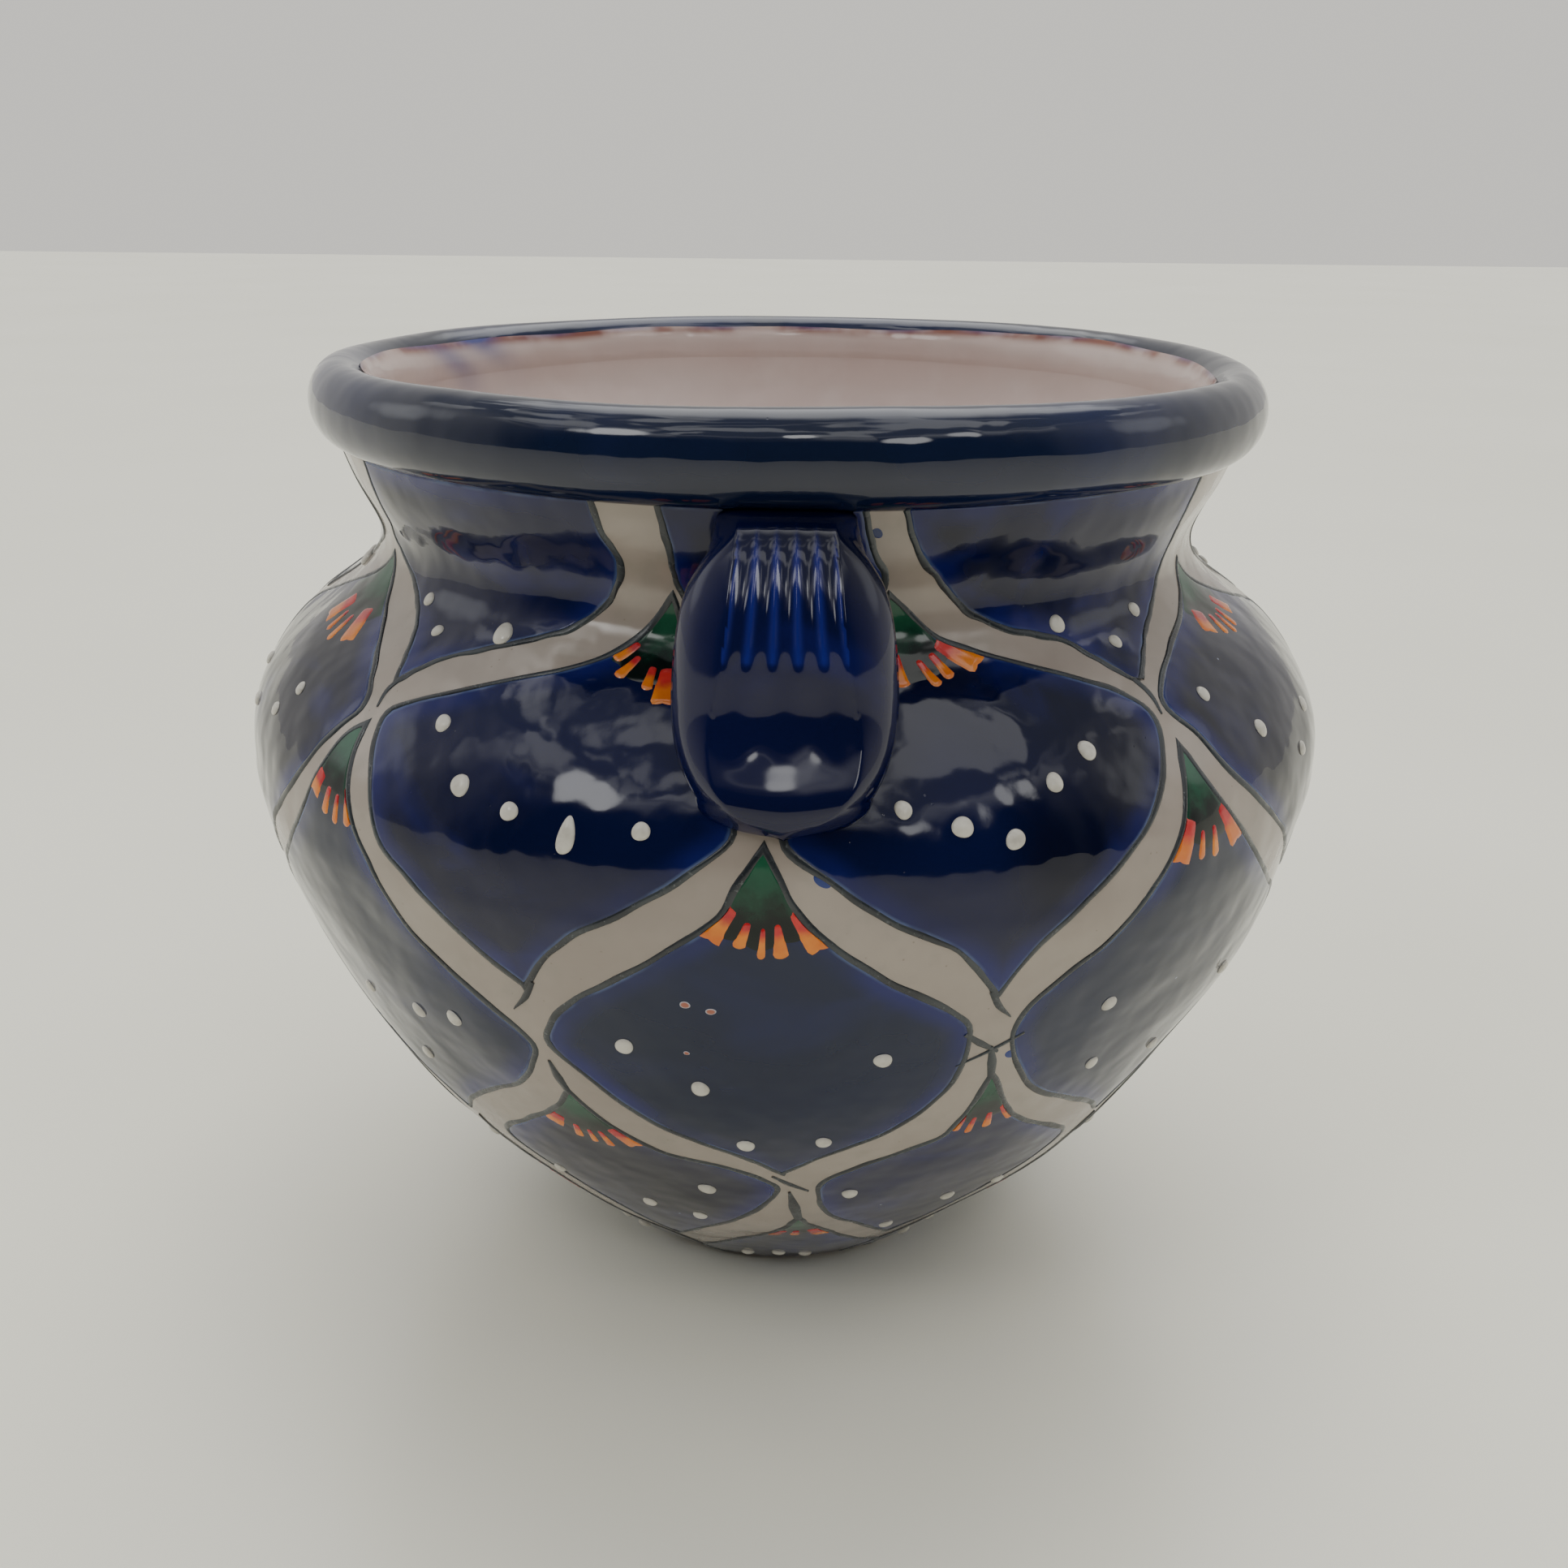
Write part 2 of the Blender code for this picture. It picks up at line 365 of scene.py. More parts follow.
def lip_glaze():
    """Very glossy dark navy, with slow cobalt clouds."""
    s = Shader("lip_navy_glaze", IOR=1.54)
    cloud = s.ramp(s.noise(14, 3, 0.5, 0.4), 0.42, 0.68)
    s.colour(s.mix(cloud, (0.0044, 0.0092, 0.0320), (0.0068, 0.0140, 0.068)))
    s.gloss(35, 3, 0.035, 0.085)
    glaze_skin(s, 0.014)
    return s.mat


def lining_glaze():
    """Pale mauve tin glaze, with painted shade darkening it where it runs over the lip's inner face, browner
    along its burnt top edge, with blue strays from the lip.
    """
    s = Shader("lining_mauve_glaze", IOR=1.5)
    body = s.mix(s.ramp(s.noise(12, 4, 0.55), 0.35, 0.68), (0.74, 0.62, 0.58), (0.84, 0.73, 0.685))
    body = s.mix(s.ramp(s.noise(75, 4), 0.5, 0.75, 0.0, 0.4), body, (0.86, 0.78, 0.74))
    edge = s.attribute("edge_mm")
    # Painted shade under the lip: the lining darkens over the last 22 mm before its edge.
    body = s.mix(s.ramp(edge, 22.0, 3.0, 0.0, 0.45), body, (0.52, 0.39, 0.345))
    burnt = s.times(s.ramp(edge, 3.4, 0.6), s.ramp(s.noise(60, 3), 0.35, 0.6, 0.35, 1.0))
    body = s.mix(burnt, body, (0.24, 0.085, 0.055))
    s.colour(s.mix(s.attribute("stray"), body, (0.022, 0.050, 0.26)))
    s.gloss(26, 3, 0.08, 0.20)
    glaze_skin(s)
    return s.mat


def bare_clay():
    """The wiped foot: brick-coloured earthenware with throwing rings, grit and glaze smears."""
    s = Shader("foot_bare_clay", IOR=1.4)
    body = s.mix(s.ramp(s.noise(60, 5, 0.65), 0.35, 0.7), (0.33, 0.145, 0.080), (0.50, 0.265, 0.160))
    grit, _ = s.cells(700)
    body = s.mix(s.ramp(grit, 0.14, 0.05, 0.0, 0.7), body, (0.62, 0.47, 0.36))
    s.colour(s.mix(s.ramp(s.noise(35, 3), 0.62, 0.75, 0.0, 0.6), body, (0.21, 0.13, 0.12)))
    s.gloss(120, 3, 0.7, 0.95)
    s.bump(s.noise(650, 4, 0.7), 0.25 * MM, 0.6)
    return s.mat


# ---------------- pot wall, foot, lip, lining

ANGLES = np.linspace(-180, 180, 360, endpoint=False)
WALL_TOP = 219.5 * MM  # hidden inside the lip
# Degrees round the lip, from outwards, at which the lining ends near the crest and leaves for the wall.
LINING_TOP, LINING_LEAVES = 134, 196
LINING_RISE, LINING_DEPTH = 0.25 * MM, 7.3 * MM  # above the lip, and in from the pot's outside
LINING_FLOOR = 9.2 * MM


def wall():
    """The clay wall in its white glaze: outside skin, top edge, inside skin and the floor's edge."""
    parts = Parts()
    coarse = np.linspace(1.2 * MM, FULL_RUN - 70 * MM, 90)
    outer = np.concatenate([coarse, np.linspace(FULL_RUN - 69 * MM, FULL_RUN, 60)])
    outer = np.stack([on_pot(ANGLES, run) for run in outer])
    inner = np.stack([on_pot(ANGLES, run, -WALL) for run in np.linspace(FULL_RUN, 12 * MM, 60)])
    inner[..., 2] = np.minimum(inner[..., 2], WALL_TOP)
    parts.grid(np.concatenate([outer, inner]), wrap_rows=True, wrap_columns=True)
    parts.make("pot_wall", white_glaze(), "cobalt_glaze", ("bowl_wall", "shoulder_wall"))


def foot():
    """The foot's clay slab: a slightly hollowed underside with the rings left by turning."""
    outline = [
        (0.05, 7.6), (30.0, 7.6), (48.5, 7.2), (47.2, 4.0), (46.0, 1.6), (45.2, 0.45), (44.0, 0.0),
        (38.5, 0.0), (37.6, 0.35),
    ]
    for r in np.linspace(36.8, 0.2, 30):
        outline.append((r, 0.75 + 0.12 * math.sin(r * 1.9) + 0.04 * math.sin(r * 5.3)))
    turn = np.radians(ANGLES)
    uneven = 1 + 0.0015 * np.sin(3 * turn)
    rows = [(r * uneven * np.sin(turn), -r * uneven * np.cos(turn), z + 0 * turn) for r, z in outline]
    parts = Parts()
    parts.grid(np.stack([np.stack(row, -1) for row in rows]) * MM, wrap_columns=True)
    parts.make("foot_base", bare_clay(), "clay", ("foot_slab",))


def lip_sway(angle):
    """How the hand-rolled lip strays from true: outwards and upwards, and a thickness factor."""
    turn = np.radians(angle)
    out = 0.35 * np.sin(2 * turn + 0.8) + 0.16 * np.sin(5 * turn + 2.0) + 0.07 * np.sin(11 * turn)
    up = 0.30 * np.sin(2 * turn + 2.3) + 0.12 * np.sin(4 * turn) + 0.06 * np.sin(9 * turn + 1.0)
    fat = 1 + 0.022 * np.sin(3 * turn + 1.0) + 0.012 * np.sin(8 * turn + 0.4)
    return out * MM, (up - 0.4) * MM, fat


def lip_point(angle, around, grow=0.0):
    """Points of the lip, at degrees round its oval section from outwards, anticlockwise."""
    out, up, fat = lip_sway(angle)
    turn, at = np.radians(angle), np.radians(around)
    r = LIP_RADIUS + out + (LIP_HALF_WIDTH * fat + grow) * np.cos(at)
    z = LIP_HEIGHT + up + (LIP_HALF_HEIGHT * fat + grow) * np.sin(at)
    return np.stack([r * np.sin(turn), -r * np.cos(turn), z], -1)


def lip():
    """The rolled lip, a full bead whose underside tucks into the neck."""
    parts = Parts()
    bead = np.stack([lip_point(ANGLES, around) for around in np.linspace(270, -90, 72, endpoint=False)])
    parts.grid(bead, wrap_rows=True, wrap_columns=True, flip=True)
    parts.make("lip_bead", lip_glaze(), "navy_glaze", ("lip_roll",))


def lining():
    """The mauve glaze inside: over the floor, up the wall and on to the lip, to a wavering edge."""
    turn = np.radians(ANGLES)
    top = LINING_TOP + 4 * np.sin(2 * turn + 1.0) + 2.5 * np.sin(5 * turn) + 1.5 * np.sin(13 * turn + 2)
    rows, depth = [], []  # the depth is in mm down from the glaze's edge
    for f in np.linspace(0, 1, 26):
        rows.append(lip_point(ANGLES, top * (1 - f) + LINING_LEAVES * f, LINING_RISE))
        depth.append(np.radians(LINING_LEAVES - top) * f * 8.4)
    for run in np.linspace(FULL_RUN - 15 * MM, 14 * MM, 110):
        rows.append(on_pot(ANGLES, run, -LINING_DEPTH))
        depth.append(10 + (FULL_RUN - run) / MM + 0 * turn)
    rim = rows[-1]
    for f in np.linspace(0.93, 0.002, 16):
        floor = rim * [f, f, 1]
        floor[:, 2] = LINING_FLOOR + 4 * MM * max(0.0, f - 0.55)
        rows.append(floor)
        depth.append(300 + 0 * turn)
    depth = np.stack(depth)
    smear = np.exp(-(((ANGLES + 118) / 9) ** 2)) * (0.5 + 0.3 * np.sin(29 * turn + 0.5 * depth))
    edge = 0.5 * np.clip(1 - depth / 1.4, 0, 1) * (0.5 + 0.5 * np.sin(23 * turn))
    stray = np.clip(smear * np.clip(1 - (depth - 3) / 9, 0, 1) + edge, 0, 0.9)
    parts = Parts()
    parts.grid(np.stack(rows), wrap_columns=True, edge_mm=depth, stray=stray)
    parts.make("inner_lining", lining_glaze(), "lining_glaze", ("glaze_lining",))


# ---------------- the painted net of onion panels
# Each panel is a left and a right chain of (angle, run in mm) from its top to its bottom. Every row
# has four panels, numbered as columns, drawn for the front half, and four more on the back half.

NECK = {
    -1: ([(-57, 261.4), (-58, 252), (-59.3, 245.7), (-61.5, 240.7), (-59.5, 237.6), (-53.5, 232.2),
     (-49, 226), (-45.6, 218.3), (-43.6, 210.8)],
    [(-20.4, 261.4), (-19.7, 253.4), (-18.7, 248), (-20, 240), (-24.9, 232), (-33.4, 224.7),
     (-41, 216.8), (-43.6, 210.8)]),
    0: ([(-12.8, 261.4), (-12, 251), (-12, 243.5), (-9, 232), (-5, 216), (-1.5, 199.5)],
    [(7.5, 261.4), (9, 251.5), (10.6, 244.6), (8.5, 232), (4, 216), (-1.5, 199.5)]),
    1: ([(12, 261.4), (14, 252), (17, 244.8), (20.5, 238), (26, 232.6), (33.3, 228), (37, 221),
     (39.7, 214.6)],
    [(54.6, 261.4), (54.7, 250), (56.2, 241.5), (53.5, 234.5), (46, 225), (39.7, 214.6)]),
    2: ([(77.4, 261.4), (77.3, 250), (75.8, 241.5), (78.5, 234.5), (86, 225), (92, 212.5)],
    [(105, 261.4), (106.5, 252), (109.5, 240.7), (101.5, 232.2), (97, 226), (92, 212.5)]),
}
SHOULDER = {
    -2: ([(-63.6, 235.8), (-67.5, 230), (-77.5, 219.5), (-84.5, 210), (-86.5, 202.5), (-85, 193),
     (-80, 177), (-71.5, 162.5), (-66.5, 152.5)],
    [(-63.6, 235.8), (-60, 228.5), (-53.1, 218.9), (-47.5, 208.5), (-45.8, 202.8), (-48, 195),
     (-52, 182), (-60, 166), (-66.5, 152.5)]),
    -1: ([(-12.9, 239.3), (-14.3, 235.5), (-18, 228.3), (-23.3, 221.8), (-33.2, 213.3), (-39.2, 207.3),
     (-41.6, 203.2), (-41.3, 197.5), (-39.4, 187.7), (-37, 177.1), (-33.8, 171.8), (-28.1, 160.1),
     (-23.2, 152)],
    [(-12.9, 239.3), (-11, 228), (-8.5, 214), (-6, 201), (-4.2, 190.2), (-8, 182.2), (-13.4, 173.3),
     (-17.8, 167), (-21, 159.2), (-23.2, 152)]),
    0: ([(11.6, 240.9), (9.5, 228), (6.5, 213), (3, 200), (0.2, 189.4), (3.6, 182.3), (8.9, 173.3),
     (14.5, 165.9), (17.4, 158.5), (19, 153.1)],
    [(11.6, 240.9), (14.1, 236.5), (17.6, 230.8), (23.8, 225.6), (33.2, 217), (36.6, 212), (38.3, 207),
     (37.4, 199.5), (33.4, 186.9), (27.9, 176), (22, 164.4), (19, 153.1)]),
    1: ([(63.6, 236.2), (61.3, 231.2), (55.5, 225.1), (48.2, 219.2), (42.7, 212.6), (41, 208),
     (42.9, 200.3), (45.5, 190), (52.1, 176.3), (59.5, 163), (65, 152.5)],
    [(63.6, 236.2), (67, 230.5), (76, 220), (84.5, 211.5), (87, 205), (85.5, 196), (81, 182), (71, 164),
     (65, 152.5)]),
}
BELLY = {
    -1: ([(-43.8, 198.8), (-45.4, 195.9), (-47.4, 186.4), (-49.5, 177), (-53.1, 167.4), (-59.5, 156),
     (-65, 145.5), (-66.5, 138), (-64.5, 128), (-61, 117), (-53.5, 106), (-46.5, 97.5), (-43.6, 91.5)],
    [(-43.8, 198.8), (-43.3, 190.7), (-41.7, 181.1), (-38.3, 169.1), (-35.5, 157.5), (-30, 147),
     (-25.5, 139), (-24, 135), (-24.8, 129), (-28, 119), (-35.1, 107.7), (-41, 98), (-43.6, 91.5)]),
    0: ([(-1.6, 187.2), (-3.3, 181.1), (-4.9, 174.4), (-8, 168.4), (-14, 157.4), (-18.5, 149.7),
     (-21.1, 142.5), (-21.9, 137), (-19.5, 130), (-13.4, 116), (-7, 106.8), (-3.2, 101), (0.2, 93.7)],
    [(-1.6, 187.2), (-0.1, 180.4), (1.1, 174.9), (4, 168.2), (9.3, 158.3), (14, 151), (16.6, 145.4),
     (17, 135.4), (15.8, 125.1), (11.7, 113.7), (5.3, 104.1), (0.2, 93.7)]),
    1: ([(39.8, 197.6), (38.2, 188.4), (36.2, 179.3), (32, 168), (29.3, 160.9), (25.9, 154.6),
     (22.2, 145.5), (21.8, 139), (23.8, 128.7), (27.9, 117.7), (34.7, 107.9), (41, 99), (44.5, 91.5)],
    [(39.8, 197.6), (41.2, 189.5), (43.5, 182), (48.6, 169.4), (55.5, 157), (62.5, 146.5), (65.2, 139),
     (64.5, 129.5), (60, 116.5), (53, 104.5), (47, 97), (44.5, 91.5)]),
    2: ([(90, 197), (88.5, 190), (86, 182), (80.5, 169), (74, 157), (69.5, 147), (68.6, 139), (69, 130),
     (73, 118.5), (80, 106), (86.5, 98), (90, 91.5)],
    [(90, 197), (91.5, 190), (94.5, 182), (99.5, 169.5), (105.5, 157.5), (110.5, 146.5), (111.6, 138),
     (110.5, 129), (106.5, 117), (99.5, 105), (93, 97), (90, 91.5)]),
}
BOWL = {
    -2: ([(-67.3, 120.5), (-68.5, 115), (-71.5, 107.5), (-79, 97.5), (-87.5, 87), (-86, 77.5),
     (-82, 67), (-75.5, 53), (-69, 37)],
    [(-67.3, 120.5), (-65.5, 114.4), (-62.5, 107.3), (-57.5, 99), (-51.6, 87.6), (-53, 77),
     (-56.5, 65.5), (-62.5, 52.5), (-69, 37)]),
    -1: ([(-21.7, 120.5), (-23.4, 114.4), (-26.4, 107.3), (-31.1, 99.2), (-37.4, 87.6), (-36, 77),
     (-32.5, 66), (-26.5, 52), (-20.5, 36)],
    [(-21.7, 120.5), (-19.8, 113.8), (-16.8, 106.8), (-12.9, 100.3), (-7, 96), (-2, 89), (-0.5, 84.5),
     (-2.2, 76.1), (-7.3, 62.6), (-14.1, 49.1), (-20.5, 36)]),
    0: ([(20.7, 128.1), (20.2, 121), (19.3, 113.6), (17.9, 105.9), (14.6, 102.1), (9.2, 95.5),
     (5.2, 86.6), (5.5, 77), (7.7, 66.8), (13.4, 54.5), (21.5, 38.5)],
    [(20.7, 128.1), (23.1, 118.3), (24.5, 113), (27.6, 106.1), (34.2, 96.2), (39.1, 87.7), (38, 77),
     (34.5, 64), (28.5, 51), (21.5, 38.5)]),
    1: ([(68.3, 124), (66.5, 117), (63.5, 109), (57.5, 99.5), (49.9, 87.7), (51, 77), (54.5, 64),
     (60.5, 51), (68, 37.5)],
    [(68.3, 124), (69, 117), (71, 108.5), (78, 98.5), (85, 87.5), (84, 77), (80, 64.5), (74, 51),
     (68, 37.5)]),
}
FOOT_LEFT = [
    (2.8, 65.4), (1.9, 61.1), (0.7, 55.7), (-2.8, 47.1), (-9.9, 34.4),
    (-18.4, 19.3), (-20.5, 11), (-21, 2.6),
]
FOOT_RIGHT = [
    (2.8, 65.4), (3.9, 60.7), (6.8, 52.6), (12.5, 40.4), (20.5, 27.5),
    (25.3, 19), (27.5, 11), (28, 2.6),
]
# The foot row repeats one panel: (degrees round, stretch of its upper part) for each column.
FOOT_COLUMNS = {-1: (-47, 1.02), 0: (0, 1), 1: (42, 1.03), 2: (88, 1)}
OUTLINE = 1.15 * MM
BED = 0.16 * MM  # rise of the cobalt above the white glaze
CHAIN = 64  # points of each chain
FILL_ROWS, FILL_COLUMNS = 64, 41
# Sections of an outline and of a stroke: (share of its width, from the border outwards, and rise).
OUTLINE_SECTION = [
    (-0.26, BED - 0.05 * MM), (-0.12, BED + 0.08 * MM), (0.15, BED + 0.15 * MM), (0.55, BED + 0.13 * MM),
    (0.85, 0.15 * MM), (1.0, -0.08 * MM),
]
STROKE_SECTION = [(-1, -0.08 * MM), (-0.7, 0.24 * MM), (0, 0.34 * MM), (0.7, 0.24 * MM), (1, -0.08 * MM)]


def curve(points, count=CHAIN):
    """count points of a smooth line through (angle, run in mm) points, with the runs now in metres."""
    p = np.array(points, float) * (1, MM)
    at = np.concatenate([[0], np.cumsum(np.sqrt(np.hypot(np.diff(p[:, 0]) * 2.2 * MM, np.diff(p[:, 1]))))])
    slope = np.gradient(p, at, axis=0)
    place = np.linspace(0, at[-1], count)
    k = np.clip(np.searchsorted(at, place, side="right") - 1, 0, len(p) - 2)
    h = (at[k + 1] - at[k])[:, None]
    t = (place - at[k])[:, None] / h
    return (
        (1 + 2 * t) * (1 - t) ** 2 * p[k] + t * (1 - t) ** 2 * h * slope[k]
        + t * t * (3 - 2 * t) * p[k + 1] + t * t * (t - 1) * h * slope[k + 1]
    )


def panels():
    """Every panel as (row name, column, left chain, right chain). The back half is the front one turned
    round, with a little sway, and its columns are numbered four higher."""
    rows = {"neck": NECK, "shoulder": SHOULDER, "belly": BELLY, "bowl": BOWL, "foot": {}}
    for column, (turn, stretch) in FOOT_COLUMNS.items():
        rows["foot"][column] = [
            [(a + turn, u * (stretch if u > 30 else 1)) for a, u in side] for side in (FOOT_LEFT, FOOT_RIGHT)
        ]
    found = []
    for half in (0, 4):
        for name, row in rows.items():
            for column, (left, right) in row.items():
                sway = 0.6 * math.sin(2.3 * column + len(name)) if half else 0.0
                turn = (45 * half + sway, 0)
                found.append((name, column + half, curve(left) + turn, curve(right) + turn))
    return found


def laid_flat(points, middle):
    """(angle, run) points as lengths on a flat sheet laid on the pot near a middle angle."""
    return np.stack([np.radians(points[:, 0] - middle) * radius_at(points[:, 1]), points[:, 1]], -1)


def hand_drawn(left, right, seed):
    """The panel's border as one line, down its left chain and up its right one, with a brush's waver."""
    rng = random.Random(seed)
    line = np.concatenate([left, right[::-1]])
    at = np.linspace(0, 2 * np.pi, len(line))
    waver = sum(rng.uniform(0.03, 0.09) * MM * np.sin(n * at + rng.uniform(0, 6.3)) for n in (5, 9, 16, 27))
    return moved(line, waver * np.sin(at / 2) ** 0.25, limit=1.1)


def moved(line, distance, limit=2.0):
    """A line moved outwards by a distance, with mitred corners. Its ends either meet at the panel's apex
    or lie apart, under the lip."""
    r = radius_at(line[:, 1])
    step = np.diff(line, axis=0)
    step = np.stack([np.radians(step[:, 0]) * r[1:], step[:, 1]], -1)
    size = np.linalg.norm(step, axis=1)
    for k in np.nonzero(size < 1e-7)[0]:
        step[k] = step[k - 1]
    step /= np.linalg.norm(step, axis=1, keepdims=True)
    side = np.stack([-step[:, 1], step[:, 0]], -1)
    before, after = np.concatenate([side[:1], side]), np.concatenate([side, side[-1:]])
    if np.hypot(*np.diff(laid_flat(line[[0, -1]], line[0, 0]), axis=0)[0]) < 0.5 * MM:
        before[0], after[-1] = side[-1], side[0]
    joint = before + after
    joint /= np.maximum(np.linalg.norm(joint, axis=1, keepdims=True), 1e-9)
    mitre = np.minimum(1 / np.maximum((joint * after).sum(1), 0.2), limit)
    d = -np.asarray(distance) * mitre
    return np.stack([line[:, 0] + np.degrees(joint[:, 0] * d / r), line[:, 1] + joint[:, 1] * d], -1)


def edge_distance(points, line):
    """How far, in mm, each point lies from a panel's border."""
    a, p = (laid_flat(places, line[:, 0].mean()) for places in (line, points))
    b = np.concatenate([a[1:], a[:1]])
    ab = b - a
    t = np.clip(((p[:, None] - a) * ab).sum(-1) / np.maximum((ab**2).sum(-1), 1e-12), 0, 1)
    return np.linalg.norm(p[:, None] - (a + t[..., None] * ab), axis=-1).min(1) / MM


def add_panel(parts, line):
    """The cobalt fill: level rows of points between the panel's two sides, let down at the border."""
    sides = [chain[np.argsort(chain[:, 1])] for chain in (line[:CHAIN], line[CHAIN:][::-1])]
    low, high = max(s[0, 1] for s in sides), min(s[-1, 1] for s in sides)
    ease = (1 - np.cos(np.linspace(0, np.pi, FILL_ROWS))) / 2
    runs = low + (high - low) * (0.4 * np.linspace(0, 1, FILL_ROWS) + 0.6 * ease)
    left, right = (np.interp(runs, s[:, 1], s[:, 0]) for s in sides)
    across = (1 - np.cos(np.linspace(0, np.pi, FILL_COLUMNS))) / 2
    angle = left[:, None] + (right - left)[:, None] * across
    run = np.broadcast_to(runs[:, None], angle.shape)
    edge = edge_distance(np.stack([angle.ravel(), run.ravel()], -1), line).reshape(angle.shape)
    rise = BED * np.clip(edge / 0.3, 0, 1) - 0.10 * MM * (edge < 0.02)
    parts.grid(on_pot(angle, run, rise), edge_mm=edge)


def add_outline(parts, line, seed):
    """A raised line round a panel, its width breathing as a brush's does."""
    rng = random.Random(seed)
    at = np.linspace(0, 2 * np.pi, len(line))
    breathe = 1 + sum(rng.uniform(0.04, 0.12) * np.sin(n * at + rng.uniform(0, 6.3)) for n in (2, 5, 9, 17))
    width = OUTLINE * breathe
    parts.grid(np.stack([on_pot(*moved(line, share * width).T, rise) for share, rise in OUTLINE_SECTION]))


def add_stroke(parts, points, widths):
    """A tapering stroke of outline paint through (angle, run in mm) points, with half widths in mm."""
    line = curve(points, 24)
    half = np.interp(np.linspace(0, 1, 24), np.linspace(0, 1, len(widths)), widths) * MM
    parts.grid(np.stack([on_pot(*moved(line, share * half).T, rise) for share, rise in STROKE_SECTION]))


def polar(apex, angle, reach):
    """A point at an angle from straight down and a reach from a panel's apex, as (angle, run)."""
    run = apex[1] - reach * np.cos(np.radians(angle))
    middle = (radius_at(run) + radius_at(apex[1])) / 2
    return np.stack([apex[0] + np.degrees(reach * np.sin(np.radians(angle)) / middle), run], -1)


def side_angles(line, apex, reach):
    """Angles from straight down at which circles round the apex meet the panel's two sides."""
    x = np.radians(line[:, 0] - apex[0]) * (radius_at(line[:, 1]) + radius_at(apex[1])) / 2
    y = apex[1] - line[:, 1]
    far, turn = np.hypot(x, y), np.degrees(np.arctan2(x, y))
    sides = []
    for sign in (-1, 1):
        keep = (turn * sign > 0) & (y > -1e-6) & (far < 34 * MM)
        order = np.argsort(far[keep])
        sides.append(np.interp(reach, far[keep][order], turn[keep][order]))
    return sides


# A fan's rays, each with the degrees from straight down and the reach in mm of its root and of its
# end, its half widths there in mm, and how far up the ray the red stands (0 is orange throughout).
FAN_Q0 = [
    ((-31, 12.2), (-29, 20), 2.3, 2.5, 0.45), ((-10.5, 14), (-13.8, 20.3), 0.7, 1.35, 0.4),
    ((0.8, 14.8), (-1.3, 21), 0.45, 0.85, 0.35), ((11.5, 14.2), (10.2, 22.4), 0.6, 1.6, 0.4),
    ((28.5, 12.8), (29.5, 23.4), 1.7, 2.4, 0.5),
]
FAN_LEFT = [
    ((-33, 11), (-37.6, 17), 0.8, 1.3, 0.4), ((-24, 13.2), (-27, 20), 0.7, 1.3, 0.4),
    ((-9.5, 14.2), (-7, 20.6), 0.8, 1.2, 0.45), ((4, 14), (4.5, 22.5), 2, 2.5, 0.45),
]
FAN_RIGHT = [
    ((2, 12), (3.3, 19.6), 1.3, 1.7, 0.45), ((18.8, 14.6), (20.6, 21), 0.7, 1.2, 0.4),
    ((32, 14.6), (31, 21.5), 0.8, 1.3, 0.4), ((45, 13.6), (47.5, 23.5), 2.4, 2.6, 0.5),
]
FAN_Q1 = [
    ((-20, 14.5), (-20.5, 23.5), 2.9, 3.1, 0.5), ((-3, 17), (-2.4, 24), 0.6, 1.1, 0.35),
    ((9.5, 17), (9.5, 24.6), 0.6, 1.2, 0.35), ((25, 14.5), (27, 25), 2.2, 2.6, 0.5),
]
FAN_R = [
    ((-30, 13.5), (-29, 20), 2.4, 2.6, 0.5), ((-11, 14.5), (-10, 20.6), 0.8, 1.2, 0.4),
    ((1.5, 15), (1, 21.2), 0.6, 1, 0.4), ((13, 14.6), (12, 21.6), 0.7, 1.2, 0.4),
    ((29, 13.5), (31, 21.4), 1.7, 2.3, 0.5),
]
FAN_S = [
    ((-20.5, 12.2), (-21.5, 19), 2.4, 2.9, 0.55), ((0.5, 13), (-0.5, 18.4), 0.9, 1.4, 0.45),
    ((20.5, 12.2), (21.5, 20), 2.2, 2.9, 0.55),
]
FANS = {
    "shoulder": {-2: FAN_Q1, -1: FAN_LEFT, 0: FAN_RIGHT, 1: FAN_R},
    "belly": {-1: FAN_R, 0: FAN_Q0, 1: FAN_Q1, 2: FAN_Q0},
    "bowl": {-2: FAN_Q0, -1: FAN_R, 0: FAN_R, 1: FAN_Q0},
    "foot": {-1: FAN_S, 0: FAN_S, 1: FAN_S, 2: FAN_S},
}
FAN_SPREAD = 56.0  # the most degrees that the green reaches to either side of straight down
RAY_WAVER = (1.0, 1.2)  # degrees by which a ray's root and its end stray
FAN_DEPTH = 0.86  # of the longest ray, as far as the green runs


